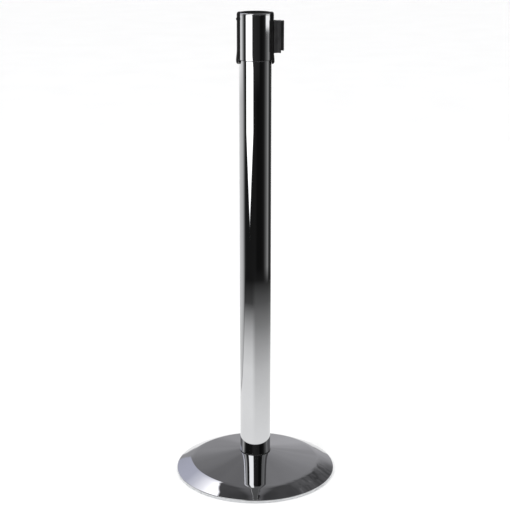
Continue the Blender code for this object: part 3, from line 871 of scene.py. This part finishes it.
def wall_light(sky):
    """The walls: dark beside the camera, pale behind the post, lighter above a dado on the left."""
    stops = (
        (-180, 0.8),
        (-150, 0.83),
        (-130, 0.78),
        (-115, 0.69),
        (-104, 0.62),
        (-96, 0.43),
        (-90, 0.27),
        (-84, 0.09),
        (-78, 0.022),
        (-66, 0.012),
        (0, 0.014),
        (15, 0.007),
        (45, 0.008),
        (60, 0.013),
        (68, 0.03),
        (75, 0.08),
        (90, 0.19),
        (98, 0.33),
        (104, 0.33),
        (112, 0.15),
        (119, 0.035),
        (125, 0.022),
        (134, 0.03),
        (150, 0.099),
        (180, 0.11),
    )
    walls = sky.by_angle(sky.azimuth, -180, 180, stops)
    upper = sky.step(sky.elevation, -9.4, -7.6)
    left_wall = sky.both(upper, sky.window(sky.azimuth, -160, -98, 6))
    walls = sky.both(walls, sky.between(left_wall, 1.0, 1.4))
    haze = sky.both(upper, sky.window(sky.azimuth, -22, 30, 7))
    return sky.maths("ADD", walls, sky.both(haze, 0.017))


def back_ceiling(sky):
    """Overhead behind the post: brightest low down, cloudy, and stronger straight behind."""
    stops = ((0, 0.41), (8, 0.385), (23, 0.27), (38, 0.213), (52, 0.2), (68, 0.18), (90, 0.09))
    ceiling = sky.by_angle(sky.elevation, 0, 90, stops)
    clutter = sky.noise(2.6, 3, sky.direction)
    ceiling = sky.both(ceiling, sky.ramp(clutter, (0.36, 0.74), (0.64, 1.0)))
    ceiling = sky.both(ceiling, sky.between(sky.step(sky.aside, 150, 168), 0.5, 1.12))
    return sky.both(ceiling, sky.between(sky.window(sky.azimuth, 155, 176, 5), 1.0, 1.36))


def front_ceiling(sky, walls):
    """Overhead on the camera's side, with a black flag hung across it, and nowhere darker than the walls."""
    stops = ((0, 0.0), (9, 0.02), (20, 0.16), (36, 0.24), (62, 0.22), (75, 0.15), (90, 0.09))
    ceiling = sky.by_angle(sky.elevation, 0, 90, stops)
    flag = sky.patch((-96, 67, 3), (37, 60, 2))
    return sky.maths("MAXIMUM", sky.between(flag, ceiling, 0.008), walls)


def low_softbox(sky):
    """Share of the softbox left of the camera. It comes to a point below, and its right side is cut back."""
    tip = -14.9
    middle = -40.5
    half = 26.5
    widening = 26 / 4.1  # degrees of half width for each degree above the tip
    grown = sky.both(sky.maths("SUBTRACT", sky.elevation, tip), widening)
    half_width = sky.maths("MINIMUM", grown, half)
    right_side = sky.step(sky.azimuth, middle - 1.5, middle + 2.5)
    cut_back = sky.both(right_side, sky.step(sky.elevation, -8.0, -7.4))
    off_centre = sky.maths("ABSOLUTE", sky.maths("SUBTRACT", sky.azimuth, middle))
    off_centre = sky.maths("ADD", off_centre, sky.both(cut_back, 6.0))
    inside = sky.maths("SUBTRACT", half_width, off_centre)
    return sky.both(sky.step(inside, -1.5, 4.0), sky.step(sky.elevation, -1.5, -3.5))


def slanted_softbox(sky):
    """Share and brightness of the softbox behind on the left, whose upper edge slants."""
    slant = sky.both(sky.maths("ADD", sky.azimuth, 149), 0.38)
    under_edge = sky.step(sky.maths("SUBTRACT", sky.elevation, slant), 57.1, 54.7)
    sides = sky.window(sky.azimuth, -161.3, -126, 1.0)
    share = sky.both(sky.both(sides, under_edge), sky.step(sky.elevation, 3.5, 5.5))
    stops = ((5, 0.5), (18, 0.56), (34, 0.6), (42, 0.85), (50, 1.3), (58, 2.0))
    return share, sky.by_angle(sky.elevation, 5, 60, stops)


def fittings(sky):
    """Factor that breaks up the light behind on the right, as pipes and stands would."""
    streaks = sky.node("Mapping", {"Vector": sky.direction, "Scale": (7, 7, 22)}).outputs["Vector"]
    shapes = sky.noise(1.0, 3, streaks, 0.6)
    levels = sky.ramp(shapes, (0.36, 0.75), (0.48, 1.3), (0.62, 1.5), (0.7, 2.2))
    return sky.between(sky.patch((128, 160, 4), (20, 58, 5)), 1.0, levels)


def make_world():
    """The studio, painted for reflections, and plain white to the camera and to matt surfaces."""
    world = bpy.data.worlds.new("studio")
    bpy.context.scene.world = world
    world.use_nodes = True
    sky = Sky(world)
    overhead = sky.both(sky.step(sky.elevation, -3.0, 1.5), sky.step(sky.aside, 95, 125))
    front = front_ceiling(sky, wall_light(sky))
    back_share, back_level = slanted_softbox(sky)
    high_softbox = sky.patch((-62, -18, 3), (28, 66, 3))
    doorway = sky.patch((76, 113, 5), (-6.15, -2, 0.2))
    glow = sky.between(overhead, front, back_ceiling(sky))
    glow = sky.between(low_softbox(sky), glow, 2.4)
    glow = sky.between(high_softbox, glow, 2.0)
    glow = sky.between(back_share, glow, back_level)
    glow = sky.both(glow, fittings(sky))
    glow = sky.between(doorway, glow, 1.4)

    path = sky.node("LightPath")
    plain = sky.maths("MAXIMUM", path.outputs["Is Camera Ray"], path.outputs["Is Diffuse Ray"])
    cool = sky.both(sky.maths("SUBTRACT", 1.0, plain), overhead)
    bluish = sky.both(sky.both(cool, back_share), sky.step(sky.elevation, 56, 30))
    tint = sky.node("MixRGB", {0: cool, 1: (1, 1, 1, 1), 2: (1.0, 0.99, 1.03, 1)}).outputs[0]
    tint = sky.node("MixRGB", {0: bluish, 1: tint, 2: (0.96, 0.98, 1.17, 1)}).outputs[0]
    shader = world.node_tree.nodes["Background"]
    world.node_tree.links.new(tint, shader.inputs["Color"])
    world.node_tree.links.new(sky.between(plain, glow, 1.1), shader.inputs["Strength"])


def flat_disc(name, radius, height, material, sides=64, rows=12):
    """A round sheet of floor, built as rings so that its shading runs smoothly outwards."""
    bm = bmesh.new()
    rings = [radius * (step / rows) ** 1.5 for step in range(1, rows + 1)]
    circles = []
    for ring in rings:
        angles = [math.tau * side / sides for side in range(sides)]
        circles.append([bm.verts.new((ring * math.cos(a), ring * math.sin(a), height)) for a in angles])
    bm.faces.new(circles[0])
    for near, far in zip(circles, circles[1:]):
        for index in range(sides):
            after = (index + 1) % sides
            bm.faces.new((near[index], near[after], far[after], far[index]))
    disc = piece_of(name, bm, material, None)
    return disc


def reflections_only(piece):
    piece.visible_camera = False
    piece.visible_diffuse = False
    piece.visible_shadow = False


def lit_paint(radius):
    """The floor as chrome sees it: a pool of light that ends at a backdrop's dark edge on the left."""
    paint = bpy.data.materials.new("lit_floor")
    paint.use_nodes = True
    pool = Graph(paint.node_tree)
    distance = pool.node("VectorMath", {0: pool.place}, operation="LENGTH").outputs["Value"]
    share = pool.maths("DIVIDE", distance, radius)
    right_stops = (
        (0.1, 0.98),
        (0.23, 0.96),
        (0.5, 0.8),
        (0.65, 0.69),
        (0.82, 0.49),
        (1.0, 0.285),
        (1.22, 0.125),
        (1.46, 0.018),
    )
    left_stops = ((0.1, 1.0), (0.5, 1.0), (0.66, 0.98), (0.82, 0.8), (1.0, 0.5), (1.22, 0.07), (1.46, 0.012))
    right = pool.ramp(share, *[(metres / radius, level) for metres, level in right_stops])
    left = pool.ramp(share, *[(metres / radius, level) for metres, level in left_stops])
    axes = pool.node("SeparateXYZ", {"Vector": pool.place})
    x, y = axes.outputs["X"], axes.outputs["Y"]
    leftness = pool.fade(pool.maths("DIVIDE", x, distance), 0.05, -0.4)
    level = pool.node("MixRGB", {0: leftness, 1: right, 2: left}).outputs[0]

    past_edge = pool.maths("SUBTRACT", pool.maths("SUBTRACT", y, pool.both(x, 0.508)), 0.513)
    left_side = pool.fade(x, -0.3, -0.42)
    beyond = pool.both(pool.fade(past_edge, 0.03, 0.06), left_side)
    on_edge = pool.both(pool.fade(pool.maths("ABSOLUTE", past_edge), 0.05, 0.0), left_side)
    level = pool.node("MixRGB", {0: pool.both(on_edge, 0.8), 1: level, 2: (0.05, 0.05, 0.05, 1)}).outputs[0]
    cover = pool.ramp(share, (0.0, 1.0), (0.88, 1.0), (1.0, 0.0))
    cover = pool.both(cover, pool.maths("SUBTRACT", 1.0, beyond))
    glow = pool.node("Emission", {"Color": level, "Strength": 1.03}).outputs["Emission"]
    clear = pool.node("BsdfTransparent").outputs["BSDF"]
    mixed = pool.node("MixShader", {0: cover, 1: clear, 2: glow}).outputs["Shader"]
    paint.node_tree.links.new(mixed, paint.node_tree.nodes["Material Output"].inputs["Surface"])
    return paint


def make_floor():
    """A pale floor, and the same floor as the chrome sees it."""
    pale = Look("pale_floor", 0.0)
    patches = pale.noise(3, 2)
    pale.colour(pale.ramp(patches, (0.3, (0.93, 0.93, 0.93)), (0.7, (0.95, 0.95, 0.95))))
    pale.rough(pale.ramp(patches, (0.3, 0.85), (0.7, 0.95)))
    flat_disc("studio_floor", 60.0, -0.0002, pale.material).visible_glossy = False
    pool_radius = 1.6
    reflections_only(flat_disc("lit_floor", pool_radius, -0.0004, lit_paint(pool_radius)))


def make_flag():
    """A narrow black card just behind the head, out of the picture, that keeps the cap's flat top dark."""
    black = Look("flag_cloth", 0.0, Specular_IOR_Level=0.0)
    weave = black.noise(300, 2)
    black.colour(black.ramp(weave, (0.3, 0.012), (0.7, 0.018)))
    black.rough(black.ramp(weave, (0.3, 0.9), (0.7, 1.0)))
    near, far = 0.13, 0.134
    foot, top = 1.003, 1.023
    loops = [[(x, near, foot), (x, near, top), (x, far, top), (x, far, foot)] for x in (-0.06, 0.06)]
    card = piece_of("flag_card", lofted(loops), black.material, None)
    reflections_only(card)


def area_light(name, place, aim, size, power):
    lamp = bpy.data.lights.new(name, "AREA")
    lamp.shape = "DISK"
    lamp.size = size
    lamp.energy = power
    light = bpy.data.objects.new(name, lamp)
    bpy.context.scene.collection.objects.link(light)
    light.location = place
    light.rotation_euler = (Vector(aim) - Vector(place)).to_track_quat("-Z", "Y").to_euler()
    light.visible_glossy = False
    light.visible_camera = False


def make_camera():
    """From 2.6 m in front and a little above the head, looking down."""
    camera = bpy.data.cameras.new("camera")
    camera.sensor_width = 36
    camera.lens = 90.2
    holder = bpy.data.objects.new("camera", camera)
    bpy.context.scene.collection.objects.link(holder)
    holder.location = (-0.0006, -2.6, 1.248)
    holder.rotation_euler = (math.radians(90 - 16.21), 0, 0)
    bpy.context.scene.camera = holder


def main():
    looks = make_looks()
    dress_frame(looks)
    make_floor_ring(looks["floor_vinyl"])
    make_base_cover(looks["chrome"])
    make_gasket(looks["black_rubber"])
    make_tube(looks["chrome"])
    make_shells(looks["chrome"])
    make_cap(looks["chrome"])
    make_rails(looks["black_plastic"])
    make_latch(looks["black_plastic"])
    make_latch_spring(looks["spring_steel"])
    # The belt end gets a lighter copy of the rails' black plastic: painted light, standing in for the light
    # that falls on it.
    make_belt_end(black_plastic("lit_copy_black", 0.026))
    make_belt(looks["black_webbing"])
    make_world()
    make_floor()
    make_flag()
    area_light("key", (-1.9, -1.5, 2.1), (0, 0, 0.7), 0.8, 17)
    area_light("fill", (0.9, -1.6, 1.5), (0, 0, 0.95), 0.6, 5)
    make_camera()
    bpy.context.scene.view_settings.view_transform = "Standard"


main()
